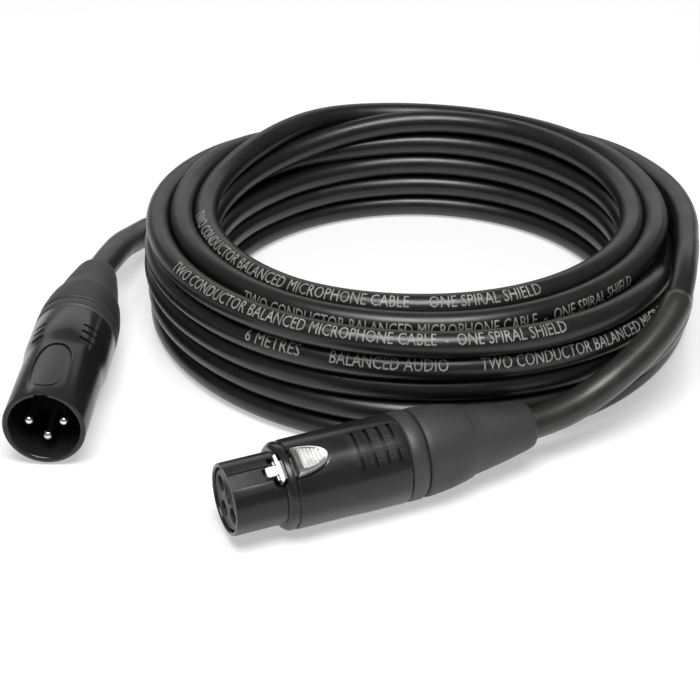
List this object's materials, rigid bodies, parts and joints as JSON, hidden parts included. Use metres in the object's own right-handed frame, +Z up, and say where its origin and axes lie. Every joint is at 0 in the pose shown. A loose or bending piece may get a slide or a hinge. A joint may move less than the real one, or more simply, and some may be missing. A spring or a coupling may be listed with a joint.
{
  "type": "coiled microphone cable",
  "caption": "Microphone cable laid in a flat round coil, with a black male XLR connector at one end and a female one with a push latch at the other.",
  "frame": {"origin": "centre of the footprint's bounding box, on the floor under the cable", "axes": "+Z up out of the coil's flat side, -Y towards the two connectors' mating ends, +X away from the male connector"},
  "size_m": [0.1654, 0.1774, 0.033],
  "materials": {
    "shell": "glossy black plated die-cast metal",
    "insert_black": "satin black glass-filled nylon",
    "dark_grey_plastic": "matte dark grey plastic",
    "boot": "matte dark grey, finely textured",
    "chuck": "matte ivory acetal",
    "contact": "bright silver plating",
    "latch": "satin silver",
    "spring_steel": "bright drawn steel",
    "jacket": "satin black soft PVC with small white print",
    "sleeve": "clear heat-shrink sleeve over the black jacket",
    "braid": "bare twisted copper",
    "red_wire": "satin red insulation",
    "white_wire": "satin white insulation"
  },
  "bodies": {
    "cable": {"cable_coil": "jacket", "cable_lead_female": "jacket", "cable_lead_male": "jacket", "female_boot": "boot", "female_chuck": "chuck", "female_coding_ring": "dark_grey_plastic", "female_conductor_1": "braid", "female_conductor_2": "red_wire", "female_conductor_3": "white_wire", "female_insert": "dark_grey_plastic", "female_shell": "shell", "female_sleeve": "sleeve", "female_socket_1": "contact", "female_socket_2": "contact", "female_socket_3": "contact", "latch_pin": "spring_steel", "latch_spring": "spring_steel", "male_boot": "boot", "male_chuck": "chuck", "male_coding_ring": "dark_grey_plastic", "male_conductor_1": "braid", "male_conductor_2": "red_wire", "male_conductor_3": "white_wire", "male_insert": "insert_black", "male_pin_1": "contact", "male_pin_2": "contact", "male_pin_3": "contact", "male_shell": "shell", "male_sleeve": "sleeve"},
    "latch": {"latch_lever": "latch"}
  },
  "joints": [
    {"name": "latch_press", "type": "hinge", "parent": "cable", "child": "latch", "pos_m": [-0.00276, -0.07272, 0.01579], "axis": [0.3474, -0.8027, -0.4848], "range_deg": [0, 5.5], "stiffness_Nm_per_rad": 0.6, "springref_deg": -5.73}
  ]
}
